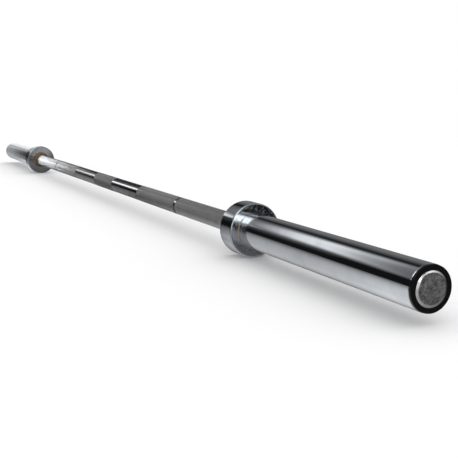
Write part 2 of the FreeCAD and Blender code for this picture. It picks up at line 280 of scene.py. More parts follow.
class NodeSheet:
    """A node tree that is being drawn."""

    def __init__(self, tree):
        self.tree = tree

    def node(self, kind, settings=None, inputs=None, output=0):
        """Add a node, set it up, fill its sockets, and return one of its outputs."""
        made = self.tree.nodes.new(kind)
        for name, value in (settings or {}).items():
            setattr(made, name, value)
        for key, value in (inputs or {}).items():
            if isinstance(value, Signal):
                self.tree.links.new(value.socket, made.inputs[key])
            else:
                made.inputs[key].default_value = value
        return Signal(self, made.outputs[output]) if made.outputs else None

    def vector(self, x, y, z):
        """Join three values into a vector."""
        return self.node("ShaderNodeCombineXYZ", inputs={0: x, 1: y, 2: z})

    def parts(self, vector):
        """Split a vector into its three values."""
        split = self.node("ShaderNodeSeparateXYZ", inputs={0: vector})
        return tuple(split.out(axis) for axis in "XYZ")


# Sockets of the Mix node that carry colours
MIX_FIRST = 6
MIX_SECOND = 7
MIX_RESULT = 2

SHADER_SOCKETS = {
    "base_color": "Base Color",
    "metallic": "Metallic",
    "roughness": "Roughness",
    "specular": "Specular IOR Level",
    "normal": "Normal",
}


class Finish(NodeSheet):
    """A material that is being drawn on the bar's own coordinates."""

    def __init__(self, name):
        self.material = bpy.data.materials.new(name)
        self.material.use_nodes = True
        self.material.node_tree.nodes.clear()
        super().__init__(self.material.node_tree)
        self.place = self.node("ShaderNodeTexCoord", output="Object")
        self.along, self.across, self.up = self.parts(self.place)
        self.radius = (self.across * self.across + self.up * self.up).apply("SQRT")

    def noise(self, size, detail=3.0, vector=None):
        """Cloudy noise whose patches are about the given size."""
        inputs = {"Vector": vector or self.place, "Scale": 1 / size, "Detail": detail}
        return self.node("ShaderNodeTexNoise", None, inputs)

    def turning(self, pitch):
        """Fine rings round the bar, as a lathe or a polishing belt leaves them."""
        drift = 6.0
        drift_y = self.across / self.radius * drift
        drift_z = self.up / self.radius * drift
        return self.noise(1.0, 2.0, self.vector(self.along / pitch, drift_y, drift_z))

    def step(self, value, start, end, low=0.0, high=1.0):
        """Ease from low to high as the value goes from start to end."""
        inputs = {"Value": value, "From Min": start, "From Max": end, "To Min": low, "To Max": high}
        return self.node("ShaderNodeMapRange", {"interpolation_type": "SMOOTHSTEP"}, inputs)

    def fall(self, value, start, end):
        """Ease from one to nought as the value goes from start to end."""
        return self.step(value, start, end, 1.0, 0.0)

    def blend(self, factor, first, second):
        """Mix two colours."""
        inputs = {0: factor, MIX_FIRST: self._opaque(first), MIX_SECOND: self._opaque(second)}
        return self.node("ShaderNodeMix", {"data_type": "RGBA"}, inputs, output=MIX_RESULT)

    def relief(self, height, depth):
        """Raise the surface by a height from nought to one, of the given depth."""
        inputs = {"Height": height, "Distance": depth, "Strength": 1.0}
        return self.node("ShaderNodeBump", None, inputs)

    def surface(self, **sockets):
        """End the material in a Principled shader and return it."""
        inputs = {SHADER_SOCKETS[name]: value for name, value in sockets.items()}
        inputs["Base Color"] = self._opaque(inputs["Base Color"])
        shader = self.node("ShaderNodeBsdfPrincipled", None, inputs)
        self.node("ShaderNodeOutputMaterial", None, {"Surface": shader})
        return self.material

    @staticmethod
    def _opaque(value):
        return value if isinstance(value, Signal) else (*value, 1.0)


# Finishes

def colours():
    """The colours that the user has set."""
    return bpy.context.scene.barbell_colours


def scaled(base, factor):
    """A colour times a factor."""
    return tuple(channel * factor for channel in base)


def sleeve_chrome(sizes):
    """Polished chrome plate with smudges, fine belt marks and a patch of rust in the collar's seam."""
    tint = colours()
    finish = Finish("sleeve_plating")
    smudge = finish.step(finish.noise(28 * MM, 5.0), 0.42, 0.72)
    speck = finish.step(finish.noise(0.9 * MM, 2.0), 0.64, 0.74)
    rings = finish.turning(0.45 * MM)
    from_face = finish.along.apply("ABSOLUTE") - COLLAR.outer
    from_tube = finish.radius - TUBE.radius
    from_seam = (from_face * from_face + from_tube * from_tube).apply("SQRT")
    ragged = from_seam + finish.noise(2.2 * MM) * 0.7 * MM
    rust_side = Vector((-0.93, -0.37))
    facing = (finish.across * rust_side.x + finish.up * rust_side.y) / finish.radius
    broken = finish.step(finish.noise(5 * MM, 3.0), 0.36, 0.60)
    rust = finish.fall(ragged, 1.0 * MM, 1.8 * MM) * finish.step(facing, 0.2, 0.7) * broken
    face_edge = COLLAR.radius - sizes.collar_round
    on_face = finish.fall(finish.radius, face_edge - 1 * MM, face_edge)
    scuff = finish.fall(from_seam, 6 * MM, 30 * MM) * on_face
    root = finish.fall(from_seam, 10 * MM, 40 * MM) * finish.fall(from_tube, 0.1 * MM, 1 * MM)
    scratch = finish.noise(4 * MM, 5.0)
    pits = finish.step(finish.noise(3.0 * MM, 5.0), 0.50, 0.72) * scuff * 0.3
    dulled = scaled(tint.sleeve_chrome, 0.72)
    plate = finish.blend(smudge * 0.35 + speck * 0.3, tint.sleeve_chrome, dulled)
    dusty = finish.blend(pits, plate, tint.seam_dust)
    return finish.surface(
        base_color=finish.blend(rust, dusty, tint.seam_rust),
        metallic=(1 - rust) * (1 - pits),
        roughness=(
            0.035 + smudge * 0.05 + rings * 0.03 + speck * 0.1
            + rust * 0.5 + pits * 0.25 + root * 0.07
        ),
        normal=finish.relief(rings * 0.005 + scratch * (0.005 + scuff * 0.45), 0.2 * MM),
    )


def shaft_chrome(sizes):
    """Chrome plate of the shaft, which hands have dulled on the smooth stretches."""
    tint = colours()
    finish = Finish("grip_plating")
    smudge = finish.step(finish.noise(18 * MM, 5.0), 0.4, 0.7)
    rings = finish.turning(0.4 * MM)
    stretch_end = sizes.centre_knurl / 2 + sizes.smooth
    handled = finish.fall(finish.along.apply("ABSOLUTE"), stretch_end, stretch_end + 10 * MM)
    return finish.surface(
        base_color=finish.blend(smudge * 0.4, tint.shaft_chrome, scaled(tint.shaft_chrome, 0.75)),
        metallic=1.0,
        roughness=0.06 + handled * (0.03 + smudge * 0.07 + rings * 0.06),
        normal=finish.relief(rings, 0.0012 * MM),
    )


def knurl_chrome(sizes):
    """Chromed knurl: bright worn crests over dull flanks and dark bottoms."""
    tint = colours()
    finish = Finish("knurl_plating")
    root = CREST_RADIUS - sizes.knurl_height
    depth = finish.step(finish.radius, root, CREST_RADIUS)
    patchiness = finish.noise(9 * MM, 4.0)
    # The knurl gets darker and rougher towards its bottoms, by depth and a patchy noise
    bottom_darkening = finish.fall(depth + patchiness * 0.5, 0.25, 0.85)
    return finish.surface(
        base_color=finish.blend(bottom_darkening, tint.knurl_chrome, tint.knurl_bottoms),
        metallic=1.0,
        roughness=0.22 + bottom_darkening * 0.25 + finish.noise(0.5 * MM, 2.0) * 0.1,
    )


def bush_bronze():
    """Machined oil-filled bronze with tool rings and dull patches."""
    tint = colours()
    finish = Finish("machined_bronze")
    rings = finish.noise(1.0, 2.0, finish.vector(finish.radius / (0.35 * MM), 0.0, 0.0))
    patch = finish.step(finish.noise(5 * MM, 4.0), 0.4, 0.68)
    return finish.surface(
        base_color=finish.blend(patch, tint.bronze, tint.bronze_dark),
        metallic=1.0,
        roughness=0.32 + patch * 0.18 + rings * 0.08,
        normal=finish.relief(rings, 0.01 * MM),
    )


def ground_steel(name, base, dull):
    """Ground or blackened steel with faint rings and stains."""
    finish = Finish(name)
    rings = finish.noise(1.0, 2.0, finish.vector(finish.radius / (0.25 * MM), 0.0, 0.0))
    stain = finish.step(finish.noise(4 * MM, 4.0), 0.45, 0.7)
    return finish.surface(
        base_color=finish.blend(stain, base, scaled(base, 0.7)),
        metallic=1.0,
        roughness=dull + stain * 0.12 + rings * 0.08,
        normal=finish.relief(rings, 0.006 * MM),
    )


def cap_black():
    """Moulded black plastic with a fine grain and a little dust."""
    tint = colours()
    finish = Finish("black_plastic")
    grain = finish.noise(0.35 * MM, 2.0)
    dust = finish.step(finish.noise(3 * MM, 5.0), 0.55, 0.8)
    return finish.surface(
        base_color=finish.blend(dust * 0.4, tint.cap_black, scaled(tint.cap_black, 2.5)),
        metallic=0.0,
        roughness=0.28 + dust * 0.12 + grain * 0.06,
        specular=0.2,
        normal=finish.relief(grain, 0.008 * MM),
    )


def plate_satin(sizes):
    """Satin steel, mottled on its face and polished round its edge."""
    tint = colours()
    finish = Finish("mottled_steel")
    flat = PLATE.radius - sizes.plate_slope
    edge = finish.step(finish.radius, flat - 0.8 * MM, flat + 0.6 * MM)
    mottle = finish.noise(2.4 * MM, 5.0)
    cloud = finish.step(mottle * 0.55 + finish.noise(9 * MM, 3.0) * 0.45, 0.40, 0.60)
    grit = finish.noise(0.8 * MM, 3.0)
    face = finish.blend(cloud, scaled(tint.plate_satin, 0.5), tint.plate_satin)
    return finish.surface(
        base_color=finish.blend(edge, face, tint.plate_edge),
        metallic=1.0,
        roughness=(0.27 + cloud * 0.10) * (1 - edge) + edge * 0.16,
        normal=finish.relief((mottle * 0.5 + grit * 0.5) * (1 - edge * 0.9), 0.09 * MM),
    )


# Turned pieces

def eased(corners):
    """Turn corners of station, radius and rounding into points, with an arc at each rounded corner."""
    points = []
    for index, (station, radius, rounding) in enumerate(corners):
        here = Vector((station, radius))
        if not rounding:
            points.append(here)
            continue
        back = (Vector(corners[index - 1][:2]) - here).normalized()
        ahead = (Vector(corners[(index + 1) % len(corners)][:2]) - here).normalized()
        half = back.angle(ahead) / 2
        centre = here + (back + ahead).normalized() * rounding / math.sin(half)
        first = here + back * rounding / math.tan(half) - centre
        last = here + ahead * rounding / math.tan(half) - centre
        sweep = first.angle_signed(last)
        for step in range(ARC_STEPS + 1):
            angle = -sweep * step / ARC_STEPS
            turned = Vector((
                first.x * math.cos(angle) - first.y * math.sin(angle),
                first.x * math.sin(angle) + first.y * math.cos(angle),
            ))
            points.append(centre + turned)
    return points


def held(points):
    """Add a point near each end of the long straight stretches, so that flats stay flat when shaded."""
    kept = []
    for index, here in enumerate(points):
        after = points[(index + 1) % len(points)]
        kept.append(here)
        run = after - here
        if run.length > HELD_RUN and max(here.y, after.y) > 0:
            kept.append(here + run.normalized() * HOLD)
            kept.append(after - run.normalized() * HOLD)
    return kept


def turned_mesh(name, corners, sign=1.0):
    """Revolve a closed outline about the bar's axis. The left end is the right one turned half round."""
    outline = held(eased(corners))
    made = bmesh.new()
    rings = []
    for point in outline:
        if point.y < ON_AXIS:
            rings.append([made.verts.new((sign * point.x, 0.0, 0.0))] * TURN_STEPS)
            continue
        ring = []
        for step in range(TURN_STEPS):
            angle = math.tau * step / TURN_STEPS
            place = (sign * point.x, sign * point.y * math.cos(angle), point.y * math.sin(angle))
            ring.append(made.verts.new(place))
        rings.append(ring)
    # A ring on the axis is one point, so the faces beside it have three corners
    for index, ring in enumerate(rings):
        ahead = rings[(index + 1) % len(rings)]
        for step in range(TURN_STEPS):
            after = (step + 1) % TURN_STEPS
            corners_of_face = dict.fromkeys((ring[step], ahead[step], ahead[after], ring[after]))
            if len(corners_of_face) > 2:
                made.faces.new(corners_of_face)
    bmesh.ops.recalc_face_normals(made, faces=made.faces)
    mesh = bpy.data.meshes.new(name)
    made.to_mesh(mesh)
    made.free()
    mesh.shade_smooth()
    mesh.set_sharp_from_angle(angle=SHARP_ANGLE)
    return mesh


def add_piece(mesh, body, nodes):
    """Put a finished mesh in the scene, riding on a body in place of CAD nodes."""
    piece = bpy.data.objects.new(mesh.name, mesh)
    bpy.context.scene.collection.objects.link(piece)
    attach(piece, body)
    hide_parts(*nodes)


def dress_nodes(material, *pieces):
    """Give a finish to the CAD nodes of a piece at both ends."""
    for side in SIDES:
        for piece in pieces:
            for slot in frame["nodes"][f"{side}_{piece}"].material_slots:
                slot.material = material


# Knurl

# Points nearer than the knurl's height divided by this are welded
WELD_PART = 50

KNURL_INPUTS = {
    "Start": "NodeSocketFloat",
    "Length": "NodeSocketFloat",
    "Root Radius": "NodeSocketFloat",
    "Bed Radius": "NodeSocketFloat",
    "Height": "NodeSocketFloat",
    "Diamonds": "NodeSocketInt",
    "Lead": "NodeSocketFloat",
    "Crest": "NodeSocketFloat",
    "Material": "NodeSocketMaterial",
}


def knurl_tree():
    """Draw the tree that wraps rows of flat-topped diamonds round the bar and closes them into a ring."""
    tree = bpy.data.node_groups.new("Diamond knurl", "GeometryNodeTree")
    for name, kind in KNURL_INPUTS.items():
        tree.interface.new_socket(name=name, in_out="INPUT", socket_type=kind)
    tree.interface.new_socket(name="Band", in_out="OUTPUT", socket_type="NodeSocketGeometry")
    sheet = NodeSheet(tree)
    given = sheet.node("NodeGroupInput")
    inputs = (given.out(name) for name in KNURL_INPUTS)
    start, span, root, bed, height, diamonds, lead, crest, material = inputs

    # Rows of diamonds on a flat sheet, every other row half a diamond along
    width = root * math.tau / diamonds
    rows = (span * lead.apply("TANGENT") / width).apply("ROUND")
    pitch = span / rows
    index = sheet.node("GeometryNodeInputIndex")
    row = ((index + 0.5) / diamonds).apply("FLOOR")
    column = index - row * diamonds + row.apply("MODULO", 2) / 2
    centres = sheet.node("GeometryNodePoints", None, {
        "Count": (rows * 2 - 1) * diamonds,
        "Position": sheet.vector(start + pitch * (row + 1) / 2, width * column, 0.0),
    })
    block = sheet.node("GeometryNodeMeshCone", {"fill_type": "NGON"}, {
        "Vertices": 4, "Radius Top": crest, "Radius Bottom": 1.0, "Depth": 1.0,
    })
    diamond = sheet.node("GeometryNodeDeleteGeometry", {"domain": "FACE"}, {
        "Geometry": block, "Selection": block.out("Bottom"),
    })
    laid = sheet.node("GeometryNodeInstanceOnPoints", None, {
        "Points": centres, "Instance": diamond, "Scale": sheet.vector(pitch / 2, width / 2, height),
    })
    flat = sheet.node("GeometryNodeRealizeInstances", None, {"Geometry": laid})

    # The sheet wrapped round the bar, its edges welded
    along, across, up = sheet.parts(sheet.node("GeometryNodeInputPosition"))
    lift = root + up
    turn = across / root
    wrapped = sheet.node("GeometryNodeSetPosition", None, {
        "Geometry": flat,
        "Position": sheet.vector(along, lift * turn.apply("COSINE"), lift * turn.apply("SINE")),
    })
    weld = height / WELD_PART
    band = sheet.node("GeometryNodeMergeByDistance", None, {"Geometry": wrapped, "Distance": weld})

    # Both ends, whose edges have one face, brought down to the bed and joined by the ring's inner wall
    open_edge = sheet.node("GeometryNodeInputMeshEdgeNeighbors").apply("COMPARE", 1.0, 0.5)
    far_half = along.apply("GREATER_THAN", start + span / 2)
    bearing = up.apply("ARCTAN2", across)
    bed_y = bed * bearing.apply("COSINE")
    bed_z = bed * bearing.apply("SINE")
    lip = sheet.node("GeometryNodeExtrudeMesh", {"mode": "EDGES"}, {
        "Mesh": band, "Selection": open_edge, "Offset Scale": 0.0,
    })
    lipped = sheet.node("GeometryNodeSetPosition", None, {
        "Geometry": lip, "Selection": lip.out("Top"),
        "Position": sheet.vector(start + span * far_half, bed_y, bed_z),
    })
    wall = sheet.node("GeometryNodeExtrudeMesh", {"mode": "EDGES"}, {
        "Mesh": lipped, "Selection": open_edge * (1 - far_half), "Offset Scale": 0.0,
    })
    walled = sheet.node("GeometryNodeSetPosition", None, {
        "Geometry": wall, "Selection": wall.out("Top"),
        "Position": sheet.vector(start + span, bed_y, bed_z),
    })
    closed = sheet.node("GeometryNodeMergeByDistance", None, {"Geometry": walled, "Distance": weld})
    faceted = sheet.node("GeometryNodeSetShadeSmooth", None, {"Geometry": closed, "Shade Smooth": False})
    real = sheet.node("GeometryNodeRealizeInstances", None, {"Geometry": faceted})
    plated = sheet.node("GeometryNodeSetMaterial", None, {"Geometry": real, "Material": material})
    sheet.node("NodeGroupOutput", None, {"Band": plated})
    return tree


def knurl_mesh(name, tree, values):
    """Grow one band of knurl and return it as a plain mesh with its faces outwards."""
    seed = bpy.data.meshes.new("knurl_seed")
    grower = bpy.data.objects.new("knurl_grower", seed)
    bpy.context.scene.collection.objects.link(grower)
    modifier = grower.modifiers.new("Knurl", "NODES")
    modifier.node_group = tree
    for item in tree.interface.items_tree:
        if item.in_out == "INPUT":
            modifier[item.identifier] = values[item.name]
    depsgraph = bpy.context.evaluated_depsgraph_get()
    mesh = bpy.data.meshes.new_from_object(grower.evaluated_get(depsgraph), depsgraph=depsgraph)
    bpy.data.objects.remove(grower)
    bpy.data.meshes.remove(seed)
    made = bmesh.new()
    made.from_mesh(mesh)
    bmesh.ops.recalc_face_normals(made, faces=made.faces)
    made.to_mesh(mesh)
    made.free()
    mesh.name = name
    mesh.materials.clear()
    mesh.materials.append(values["Material"])
    return mesh


def knurl_bands(sizes):
    """Name each knurled band and give its start and end."""
    centre = sizes.centre_knurl / 2
    inner_start = centre + sizes.smooth
    mark_start = (sizes.mark_spacing - sizes.mark_width) / 2
    outer_end = sizes.shoulder - sizes.plain_end
    bands = {"knurl_centre": (-centre, centre)}
    bands["knurl_right_inner"] = (inner_start, mark_start)
    bands["knurl_right_outer"] = (mark_start + sizes.mark_width, outer_end)
    for name, (start, end) in list(bands.items())[1:]:
        bands[name.replace("right", "left")] = (-end, -start)
    return bands


# Operators

class BARBELL_OT_shaft(Operator):
    """Turn the shaft, with beds for the knurl, the ring marks, shoulders, spigots and grooves"""

    bl_idname = "barbell.shaft"
    bl_label = "Shaft"

    def execute(self, context):
        sizes = context.scene.barbell_grip
        smooth = CREST_RADIUS - sizes.knurl_height
        bed = smooth - sizes.knurl_bed
        spigot = smooth - sizes.shoulder_step
        groove = spigot - sizes.groove_depth
        groove_start = CLIP.inner - sizes.groove_clearance
        groove_end = CLIP.outer + sizes.groove_clearance
        bands = knurl_bands(sizes)
        half = [(bands["knurl_centre"][1], bed, 0), (bands["knurl_centre"][1], smooth, 0)]
        for name in ("knurl_right_inner", "knurl_right_outer"):
            start, end = bands[name]
            half += [(start, smooth, 0), (start, bed, 0), (end, bed, 0), (end, smooth, 0)]
        half += [
            (sizes.shoulder, smooth, sizes.end_bevel / 4),
            (sizes.shoulder, spigot, 0),
            (groove_start, spigot, 0),
            (groove_start, groove, 0),
            (groove_end, groove, 0),
            (groove_end, spigot, 0),
            (SHAFT_END - sizes.end_bevel, spigot, 0),
            (SHAFT_END, spigot - sizes.end_bevel, 0),
            (SHAFT_END, 0.0, 0),
        ]
        other_half = [(-station, radius, rounding) for station, radius, rounding in reversed(half)]
        mesh = turned_mesh("shaft_core", half + other_half)
        mesh.materials.append(shaft_chrome(sizes))
        add_piece(mesh, "shaft", ["shaft"])
        return {"FINISHED"}


class BARBELL_OT_knurl(Operator):
    """Cut the diamond knurl of the grip, one ring for each band"""

    bl_idname = "barbell.knurl"
    bl_label = "Knurl"

    def execute(self, context):
        sizes = context.scene.barbell_grip
        root = CREST_RADIUS - sizes.knurl_height
        tree = knurl_tree()
        values = {
            "Root Radius": root,
            "Bed Radius": root - sizes.knurl_bed,
            "Height": sizes.knurl_height,
            "Diamonds": sizes.diamonds,
            "Lead": sizes.lead,
            "Crest": sizes.crest,
            "Material": knurl_chrome(sizes),
        }
        for name, (start, end) in knurl_bands(sizes).items():
            mesh = knurl_mesh(name, tree, {**values, "Start": start, "Length": end - start})
            if not mesh.polygons:
                raise RuntimeError(f"{name} came out empty")
            add_piece(mesh, "shaft", ["shaft"])
        return {"FINISHED"}


class BARBELL_OT_sleeves(Operator):
    """Turn the collars and the sleeve tubes and plate them with chrome"""

    bl_idname = "barbell.sleeves"
    bl_label = "Collars and sleeves"

    def execute(self, context):
        sizes = context.scene.barbell_sleeve
        chrome = sleeve_chrome(sizes)
        seat = TUBE.radius - sizes.seat_step
        seam = TUBE.radius + sizes.seam_gap
        flange_back = INNER_BUSH.inner + sizes.flange
        bush_seat = OUTER_BUSH.outer - sizes.outer_flange
        collar = [
            (COLLAR.inner, INNER_BUSH.radius, sizes.face_round),
            (COLLAR.inner, COLLAR.radius, sizes.collar_round),
            (COLLAR.outer, COLLAR.radius, sizes.collar_round),
            (COLLAR.outer, seam, 0),
            (COLLAR.outer - (seam - seat), seat, 0),
            (TUBE.inner, seat, 0),
            (TUBE.inner, sizes.bore, 0),
            (flange_back, sizes.bore, 0),
            (flange_back, INNER_BUSH.radius, 0),
        ]
        tube = [
            (TUBE.inner, sizes.bore, 0),
            (TUBE.inner, seat, 0),
            (COLLAR.outer, seat, 0),
            (COLLAR.outer, TUBE.radius, 0),
            (TUBE.outer - sizes.end_bevel, TUBE.radius, sizes.end_ease),
            (TUBE.outer, TUBE.radius - sizes.end_bevel, sizes.end_ease),
            (TUBE.outer, OUTER_BUSH.radius, 0),
            (bush_seat, OUTER_BUSH.radius, 0),
            (bush_seat, sizes.bore, 0),
        ]
        for side, sign in SIDES.items():
            for piece, outline in (("collar", collar), ("sleeve_tube", tube)):
                mesh = turned_mesh(f"{side}_{piece}_polished", outline, sign)
                mesh.materials.append(chrome)
                add_piece(mesh, f"{side}_sleeve", [f"{side}_{piece}"])
        return {"FINISHED"}


class BARBELL_OT_ends(Operator):
    """Make the moulded caps and the metal plates that close the sleeves"""

    bl_idname = "barbell.ends"
    bl_label = "End caps and plates"

    def execute(self, context):
        sizes = context.scene.barbell_sleeve
        black = cap_black()
        satin = plate_satin(sizes)
        recess = PLATE.radius + sizes.plate_gap
        plate_back = PLATE.outer - sizes.plate_thickness
        plug = OUTER_BUSH.radius
        boss = sizes.shank + sizes.cap_wall
        cap = [
            (plate_back, sizes.shank, 0),
            (plate_back, recess, 0),
            (CAP.outer, recess, sizes.cap_round / 2),
            (CAP.outer, CAP.radius, sizes.cap_round),
            (TUBE.outer, CAP.radius, 0),
            (TUBE.outer, plug, 0),
            (CAP.inner, plug, sizes.cap_round),
            (CAP.inner, plug - sizes.cap_wall, 0),
            (TUBE.outer, plug - sizes.cap_wall, 0),
            (TUBE.outer, boss, 0),
            (PLATE.inner, boss, 0),
            (PLATE.inner, sizes.shank, 0),
        ]
        plate = [
            (PLATE.inner, 0.0, 0),
            (PLATE.inner, sizes.shank, 0),
            (plate_back, sizes.shank, 0),
            (plate_back, PLATE.radius, 0),
            (PLATE.outer - sizes.plate_drop, PLATE.radius, sizes.plate_round),
            (PLATE.outer, PLATE.radius - sizes.plate_slope, sizes.plate_ease),
            (PLATE.outer, 0.0, 0),
        ]
        for side, sign in SIDES.items():
            cap_mesh = turned_mesh(f"{side}_cap_moulded", cap, sign)
            cap_mesh.materials.append(black)
            add_piece(cap_mesh, f"{side}_sleeve", [f"{side}_end_cap"])
            plate_mesh = turned_mesh(f"{side}_plate_satin", plate, sign)
            plate_mesh.materials.append(satin)
            add_piece(plate_mesh, f"{side}_sleeve", [f"{side}_end_plate"])
        return {"FINISHED"}


class BARBELL_OT_running_gear(Operator):
    """Finish the bushes, thrust washers, disc springs and retaining rings"""

    bl_idname = "barbell.running_gear"
    bl_label = "Bushes, washers and rings"

    def execute(self, context):
        tint = colours()
        dress_nodes(bush_bronze(), "inner_bush", "outer_bush")
        washer = ground_steel("ground_steel", tint.washer_steel, dull=0.25)
        dress_nodes(washer, "inner_thrust_washer", "outer_thrust_washer")
        spring = ground_steel("blackened_steel", tint.spring_steel, dull=0.4)
        dress_nodes(spring, "spring_washer", "retaining_ring")
        return {"FINISHED"}


# Studio

FLOOR_HALF = 60.0
KEY_SOFTNESS = math.radians(60)
KEY_TURN = (math.radians(-38), math.radians(-18), 0.0)
SENSOR_WIDTH = 36.0
NEAR_CLIP = 0.01

Card = namedtuple("Card", "name stations edge")
LOW_RADIUS = 1.2
FAR_RADIUS = 1.75
FLAG_RADIUS = 0.3


def round_edge(radius, marks):
    """A card's edge bent round the bar, from marks of angle in degrees and brightness."""
    turns = [(math.radians(angle), glow) for angle, glow in marks]
    return [(radius * math.cos(turn), radius * math.sin(turn), glow) for turn, glow in turns]


# Cards that only mirrors see. Each runs along the bar through stations, and its edge is a line of
# points at y and z with the brightness there, which a station's gain multiplies and its lift adds to.
CARDS = (
    Card("near_back", (
        (-6.5, 0.6, 0.0), (-5.4, 0.5, 0.0), (-4.5, 0.32, 0.0), (-4.0, 0.25, 0.0), (-3.0, 0.4, 0.0),
        (-2.4, 1.0, 0.0), (-0.45, 1.0, 0.0),
    ), (
        (1.60, 0.00, 0.21), (1.08, 0.85, 0.21), (0.65, 1.53, 0.02), (0.55, 1.70, 0.02),
    )),
    Card("near_front", ((-6.5, 0.56, 0.0), (-3.2, 0.56, 0.0), (-2.4, 1.0, 0.0), (-0.45, 1.0, 0.0)), (
        (0.55, 1.70, 0.02), (0.10, 1.58, 0.17), (-0.37, 1.45, 0.24), (-0.83, 1.33, 0.20),
        (-1.27, 1.21, 0.17), (-1.60, 1.12, 0.12), (-1.60, 0.85, 0.06), (-1.60, 0.58, 0.012),
        (-1.60, 0.00, 0.01),
    )),
    Card("middle_tunnel", ((-0.45, 1.0, 0.0), (1.3, 1.0, 0.0), (1.7, 0.25, 0.0), (2.0, 0.25, 0.0)), (
        (1.60, 0.00, 0.22), (1.08, 0.85, 0.30), (0.55, 1.70, 0.45), (-0.37, 1.45, 0.75),
        (-1.27, 1.21, 0.50), (-1.60, 1.12, 0.20), (-1.60, 0.85, 0.06), (-1.60, 0.40, 0.02),
        (-1.60, 0.00, 0.06),
    )),
    Card("far_back", ((-16.0, 1.0, 0.0), (-6.5, 1.0, 0.0)), ((0.55, 1.70, 0.68), (-0.37, 1.45, 0.47))),
    Card("far_front", (
        (-16.0, 1.0, 0.50), (-10.2, 1.0, 0.48), (-10.0, 1.0, 0.40), (-9.8, 1.0, 0.30), (-9.5, 1.0, 0.19),
        (-9.3, 1.0, 0.09), (-9.0, 1.0, 0.03), (-8.8, 1.0, 0.0), (-6.5, 1.0, 0.0),
    ), round_edge(FAR_RADIUS, (
        (104, 0.40), (112, 0.25), (120, 0.10), (128, 0.03), (150, 0.01), (180, 0.01),
    ))),
    Card("far_low_front", (
        (-16.0, 1.0, 0.50), (-8.0, 1.0, 0.46), (-7.2, 1.0, 0.40), (-6.9, 1.0, 0.26), (-6.6, 1.0, 0.16),
        (-6.4, 1.0, 0.08), (-6.25, 1.0, 0.0), (-6.0, 1.0, 0.0),
    ), round_edge(LOW_RADIUS, (
        (180, 0.01), (200, 0.03), (216, 0.09), (232, 0.20), (240, 0.28),
    ))),
    Card("far_low_under", (
        (-16.0, 1.0, 0.0), (-6.6, 1.0, 0.0), (-6.3, 1.9, 0.0), (-6.0, 2.0, 0.0),
    ), round_edge(LOW_RADIUS, (
        (240, 0.42), (272, 0.52), (290, 0.50), (316, 0.28), (340, 0.14), (360, 0.14),
    ))),
    Card("right_tunnel", ((2.0, 1.0, 0.0), (8.0, 1.0, 0.0)), (
        (1.60, 0.00, 0.02), (0.55, 1.70, 0.02), (-0.40, 1.45, 0.10), (-1.60, 1.12, 0.10),
    )),
    Card("right_flag", ((2.0, 1.0, 0.0), (4.6, 1.0, 0.0)), ((-1.60, 0.95, 0.02), (-1.60, 0.00, 0.02))),
    Card("low_left", (
        (-6.0, 1.3, 0.0), (-5.8, 0.42, 0.0), (-4.4, 0.42, 0.0), (-3.2, 0.36, 0.0), (-2.9, 0.27, 0.0),
        (-1.9, 0.27, 0.0), (-1.6, 0.80, 0.0), (-1.4, 0.92, 0.0), (-0.95, 1.0, 0.0), (-0.65, 1.15, 0.0),
        (-0.4, 1.5, 0.0), (-0.25, 1.4, 0.0), (-0.1, 0.6, 0.0), (0.9, 0.6, 0.0),
    ), round_edge(LOW_RADIUS, (
        (180, 0.12), (184, 0.21), (192, 0.40), (200, 0.52), (208, 0.60), (240, 0.69), (272, 0.70),
        (290, 0.50), (316, 0.20), (340, 0.12), (360, 0.16),
    ))),
    Card("low_right", (
        (0.9, 1.0, 0.0), (1.8, 1.0, 0.12), (2.4, 1.0, 0.12), (2.6, 1.0, 0.0), (3.4, 1.0, 0.0),
    ), round_edge(LOW_RADIUS, (
        (180, 0.02), (192, 0.05), (204, 0.42), (220, 0.48), (240, 0.48), (260, 0.48), (290, 0.25),
        (310, 0.20), (330, 0.16), (336, 0.12), (341, 0.02), (360, 0.01),
    ))),
    Card("low_far_right", ((3.4, 1.0, 0.0), (4.2, 1.0, 0.0)), round_edge(LOW_RADIUS, (
        (180, 1.00), (200, 1.00), (216, 0.60), (260, 0.48), (290, 0.25), (310, 0.14), (330, 0.09),
        (360, 0.06),
    ))),
    Card("low_end_right", ((4.2, 1.0, 0.0), (9.0, 1.0, 0.0)), round_edge(LOW_RADIUS, (
        (180, 1.00), (200, 1.00), (216, 0.60), (250, 0.48), (290, 0.30), (320, 0.10), (334, 0.10),
        (340, 0.28), (346, 0.55), (360, 0.55),
    ))),
    Card("collar_flag", ((0.50, 1.0, 0.0), (1.00, 1.0, 0.0)), ((-0.30, 0.17, 0.01), (-0.30, 0.00, 0.01))),
    Card("grip_flag", ((-0.58, 1.0, 0.0), (0.05, 1.0, 0.0)), round_edge(FLAG_RADIUS, (
        (225, 0.02), (250, 0.02), (275, 0.02), (300, 0.02), (320, 0.02),
    ))),
)

Softbox = namedtuple("Softbox", "name width soft glow path")

# Softboxes are strips that hang just in front of the cards. Each is as wide along the bar as its
# width, fades over a soft share of it at either side, and its middle follows a path of points.
SOFTBOXES = (
    Softbox("softbox_left", 1.45, 0.5, 1.25, (
        (-1.28, 0.30, 1.62), (-1.48, -0.55, 1.39), (-1.85, -1.55, 1.12),
    )),
    Softbox("softbox_far_left", 3.90, 0.15, 1.95, ((-4.35, -0.52, 1.39), (-4.35, -1.40, 1.15))),
    Softbox("softbox_collar", 0.50, 0.3, 2.20, ((-7.45, -0.55, 1.38), (-7.45, -1.10, 1.23))),
    Softbox("softbox_right", 7.40, 0.3, 3.30, ((5.30, 0.30, 1.61), (5.30, -1.50, 1.12))),
    Softbox("softbox_end", 0.60, 0.3, 2.00, (
        (1.45, 1.33, 0.12), (2.21, 1.04, 0.78), (2.95, 0.82, 1.13), (5.07, 0.19, 1.54),
        (6.60, -0.42, 1.37), (7.80, -0.92, 0.99),
    )),
    Softbox("softbox_streak", 0.50, 0.3, 2.20, ((2.08, -0.36, 1.42), (2.36, -1.25, 1.02))),
)
SOFTBOX_STEPS = 16
SOFTBOX_END_FADE = 0.3
